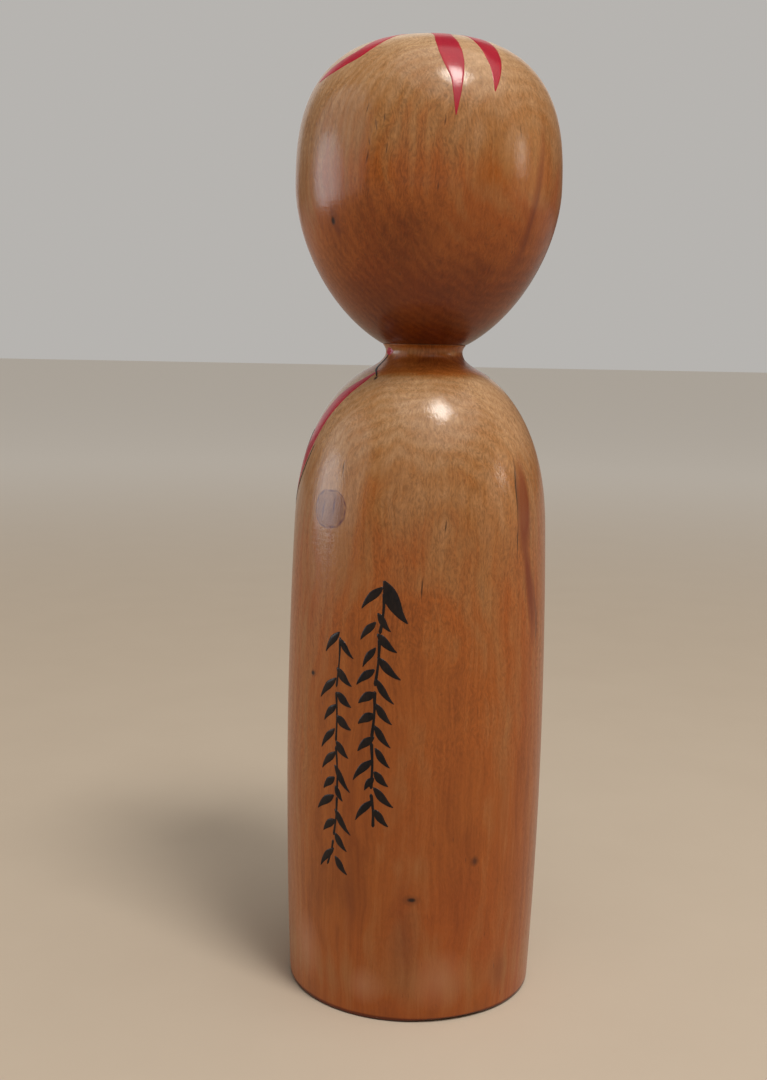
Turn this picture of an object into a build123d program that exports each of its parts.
from build123d import *
import math
import os

# Kokeshi doll: a turned wooden body, a turned wooden head, and the peg on which the head turns.
# Millimetres. +Z is up, the origin is the centre of the base, and the doll's face looks along -Y.

# ---------------------------------------------------------------- body
foot_r = 39.9            # radius at the floor, before the edge is eased
foot_round = 0.9         # easing of the edge that it stands on
girth_r = 41.85          # widest radius of the barrel-shaped side
girth_z = 83.0           # height of that widest place
body_h = 208.6           # floor to the landing on which the head sits
shoulder_drop = 57.5     # how far below the landing the side begins to turn in
dome_drop = 3.8          # how far below the landing the shoulder dome would close
dome_fullness = 2.35     # 2 is an ellipse, more is a squarer shoulder

# ---------------------------------------------------------------- neck, turned with the body
waist_r = 12.2           # narrowest radius of the neck
landing_flare = 1.0      # the neck widens by this much from the waist up to the landing
waist_drop = 2.3         # how far the waist lies below the landing
root_drop = 8.0          # how far below the landing the shoulder starts to curve up into the neck
landing_r = waist_r + landing_flare  # flat ring under the head, and the chin's radius where it sits

# ---------------------------------------------------------------- head
head_r = 41.65           # widest radius
head_h = 92.9            # landing to crown
crown_h = 44.5           # widest place to crown
crown_fullness = 2.7     # the crown is squarer than an ellipse
jaw_fullness = 1.78      # the jaw is a little straighter than one

# ---------------------------------------------------------------- neck peg
peg_r = 5.0              # plain shank
peg_grip = 30.0          # length driven into the head
peg_reach = 26.0         # length that hangs down into the body
peg_chamfer = 0.8        # bevel at the top of the peg
bead_proud = 0.6         # how far the snap bead stands out from the shank
bead_flat = 1.2          # straight part of the bead
bead_slope = 1.2         # height of the slope above the bead
lead_in = 3.2            # tapered nose that squeezes the split end shut on its way in
kerf_w = 1.4             # saw kerf that lets the lower end spring
kerf_d = 16.0            # depth of that kerf

# ---------------------------------------------------------------- fits
drive_fit = 0.02         # the peg is this much larger in radius than its hole in the head
turn_clearance = 0.05    # radial running clearance between the peg and the neck bore
bead_clearance = 0.35    # room round the bead in the undercut chamber
glue_pocket = 1.0        # room above the peg in the head
nose_gap = 1.5           # room below the peg in the body
mouth_chamfer = 0.5      # broken edge at the mouth of each hole

# ---------------------------------------------------------------- marks of the lathe's claw chuck
claw_count = 4
claw_ring_r = 13.0       # base centre to the middle of a slot
claw_length = 9.0
claw_width = 1.6
claw_depth = 2.0
centre_r = 1.5           # dimple of the centre point
centre_depth = 2.5

# ---------------------------------------------------------------- heights that follow from these
shoulder_z = body_h - shoulder_drop   # the side begins to turn in
dome_h = shoulder_drop - dome_drop    # from there to where the shoulder dome would close
root_z = body_h - root_drop           # the dome meets the neck
waist_z = body_h - waist_drop         # the neck is narrowest
crown_z = body_h + head_h             # top of the doll
head_girth_z = crown_z - crown_h      # the head is widest
nose_z = body_h - peg_reach           # lower end of the peg
bead_top_z = nose_z + lead_in + bead_flat  # top of the bead's straight part

outline_steps = 10       # curve points on each stretch of outline


def superellipse(half_width, height, fullness, angle):
    """Radius and height on a quarter of a superellipse, from its widest place at angle 0."""
    power = 2 / fullness
    return half_width * math.cos(angle) ** power, height * math.sin(angle) ** power


def turned(*outline):
    """Solid of revolution about Z from a closed outline drawn as (radius, height)."""
    return revolve(Plane.XZ * make_face(list(outline)), axis=Axis.Z)


def turned_straight(points):
    """Solid of revolution whose outline is straight lines between (radius, height) points."""
    return turned(Polyline(*points, close=True))


def body_radius(z):
    """Barrel-shaped side, closed over by the shoulder dome above the shoulder line."""
    barrel = girth_r - (girth_r - foot_r) * ((z - girth_z) / girth_z) ** 2
    if z <= shoulder_z:
        return barrel
    up = (z - shoulder_z) / dome_h
    return barrel * (1 - up ** dome_fullness) ** (1 / dome_fullness)


def body_blank():
    """Body and neck, turned in one piece."""
    side_z = [foot_round + (shoulder_z - foot_round) * i / outline_steps for i in range(outline_steps)]
    # The dome's points crowd towards the neck, where it bends most.
    root_angle = math.asin(((root_z - shoulder_z) / dome_h) ** (dome_fullness / 2))
    for i in range(outline_steps + 1):
        rise = superellipse(girth_r, dome_h, dome_fullness, root_angle * i / outline_steps)[1]
        side_z.append(shoulder_z + rise)
    side = Spline(*[(body_radius(z), z) for z in side_z])
    slope = side % 1
    waist = (waist_r, waist_z)
    neck_in = Spline(side @ 1, waist, tangents=[(slope.X, slope.Y), (0, 1)])
    neck_out = Spline(waist, (landing_r, body_h), tangents=[(0, 1), (1, 1)])
    foot_point = side @ 0
    inner_foot = (foot_point.X - foot_round, 0)
    foot_edge = RadiusArc(inner_foot, foot_point, -foot_round)
    base = Line((0, 0), inner_foot)
    landing = Line((landing_r, body_h), (0, body_h))
    axis_line = Line((0, body_h), (0, 0))
    return turned(base, foot_edge, side, neck_in, neck_out, landing, axis_line)


def peg_socket():
    """Bore down the neck with an undercut chamber, where the bead snaps in behind a lip."""
    bore_r = peg_r + turn_clearance
    chamber_r = peg_r + bead_proud + bead_clearance
    lip_z = bead_top_z + bead_slope + bead_clearance
    floor_z = nose_z - nose_gap
    return turned_straight([
        (0, body_h),
        (bore_r + mouth_chamfer, body_h),
        (bore_r, body_h - mouth_chamfer),
        (bore_r, lip_z),
        (chamber_r, bead_top_z + bead_clearance),
        (chamber_r, floor_z),
        (0, floor_z),
    ])


def claw_marks():
    """Slots that the chuck's claws leave in the base, round the dimple of its centre point."""
    marks = Pos(0, 0, centre_depth / 2) * Cone(centre_r, centre_r / 3, centre_depth)
    for i in range(claw_count):
        slot = Box(claw_length, claw_width, claw_depth)
        marks += Rot(0, 0, 360 * i / claw_count) * Pos(claw_ring_r, 0, claw_depth / 2) * slot
    return marks


def make_body():
    return body_blank() - peg_socket() - claw_marks()


def make_head():
    """Egg-shaped head with a flat ring under the chin and a blind hole for the peg."""
    # The jaw's curve is sized to come down to the landing exactly at the landing's radius.
    jaw_share = (1 - (landing_r / head_r) ** jaw_fullness) ** (1 / jaw_fullness)
    jaw_depth = (head_girth_z - body_h) / jaw_share
    chin_angle = math.asin(jaw_share ** (jaw_fullness / 2))
    jaw_points = []
    for i in range(outline_steps + 1):
        radius, drop = superellipse(head_r, jaw_depth, jaw_fullness, chin_angle * (1 - i / outline_steps))
        jaw_points.append((radius, head_girth_z - drop))
    crown_points = []
    for i in range(outline_steps + 1):
        radius, rise = superellipse(head_r, crown_h, crown_fullness, math.pi / 2 * i / outline_steps)
        crown_points.append((radius, head_girth_z + rise))
    crown_points[-1] = (0, crown_z)
    chin_slope = (jaw_points[1][0] - landing_r, jaw_points[1][1] - body_h)
    jaw = Spline(*jaw_points, tangents=[chin_slope, (0, 1)])
    crown = Spline(*crown_points, tangents=[(0, 1), (-1, 0)])
    chin = Line((0, body_h), (landing_r, body_h))
    axis_line = Line((0, crown_z), (0, body_h))
    hole_r = peg_r - drive_fit
    hole = turned_straight([
        (0, body_h),
        (hole_r + mouth_chamfer, body_h),
        (hole_r, body_h + mouth_chamfer),
        (hole_r, body_h + peg_grip + glue_pocket),
        (0, body_h + peg_grip + glue_pocket),
    ])
    return turned(chin, jaw, crown, axis_line) - hole


def make_neck_peg():
    """Dowel with a split, beaded lower end."""
    bead_r = peg_r + bead_proud
    nose_r = peg_r - bead_proud
    top_z = body_h + peg_grip
    peg = turned_straight([
        (0, nose_z),
        (nose_r, nose_z),
        (bead_r, nose_z + lead_in),
        (bead_r, bead_top_z),
        (peg_r, bead_top_z + bead_slope),
        (peg_r, top_z - peg_chamfer),
        (peg_r - peg_chamfer, top_z),
        (0, top_z),
    ])
    kerf = Pos(0, 0, nose_z + kerf_d / 2) * Box(kerf_w, 3 * bead_r, kerf_d)
    return peg - kerf


os.makedirs("parts", exist_ok=True)
for name, part in (("body", make_body()), ("head", make_head()), ("neck_peg", make_neck_peg())):
    part.label = name
    export_step(part, f"parts/{name}.step")
